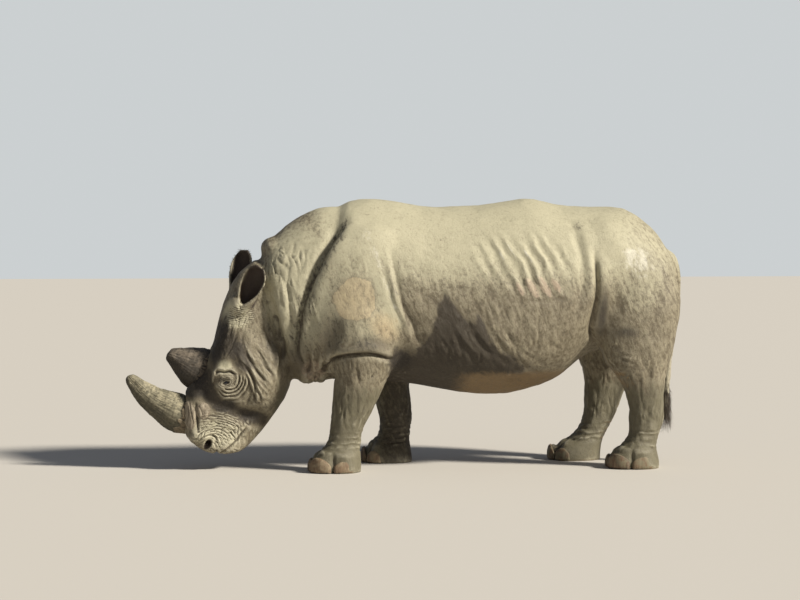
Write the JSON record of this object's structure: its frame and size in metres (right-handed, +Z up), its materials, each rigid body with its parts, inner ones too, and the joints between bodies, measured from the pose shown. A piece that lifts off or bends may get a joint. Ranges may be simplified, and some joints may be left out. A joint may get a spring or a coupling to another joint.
{
  "type": "white rhinoceros",
  "caption": "Life-size white rhinoceros standing with its head lowered to graze, in named body parts with separate horns, ears, eyes and nails.",
  "frame": {"origin": "middle of the animal's box, on the floor it stands on", "axes": "-X the way the animal looks, -Y its left side, +Z up"},
  "size_m": [3.5364, 0.9368, 1.6989],
  "materials": {
    "hide": "dry dusty wrinkled skin, matte",
    "horn": "fibrous horn, worn and dusty",
    "nail": "worn horn, dusty, satin",
    "eye": "wet dark eye"
  },
  "bodies": {
    "root": {"trunk": "hide", "head": "hide", "neck": "hide", "foreleg_left": "hide", "foreleg_right": "hide", "hindleg_left": "hide", "hindleg_right": "hide", "tail": "hide", "horn_front": "horn", "horn_rear": "horn", "ear_left": "hide", "ear_right": "hide", "eye_left": "eye", "eye_right": "eye", "nail_foreleg_left_inner": "nail", "nail_foreleg_left_middle": "nail", "nail_foreleg_left_outer": "nail", "nail_foreleg_right_inner": "nail", "nail_foreleg_right_middle": "nail", "nail_foreleg_right_outer": "nail", "nail_hindleg_left_inner": "nail", "nail_hindleg_left_middle": "nail", "nail_hindleg_left_outer": "nail", "nail_hindleg_right_inner": "nail", "nail_hindleg_right_middle": "nail", "nail_hindleg_right_outer": "nail"}
  },
  "joints": []
}
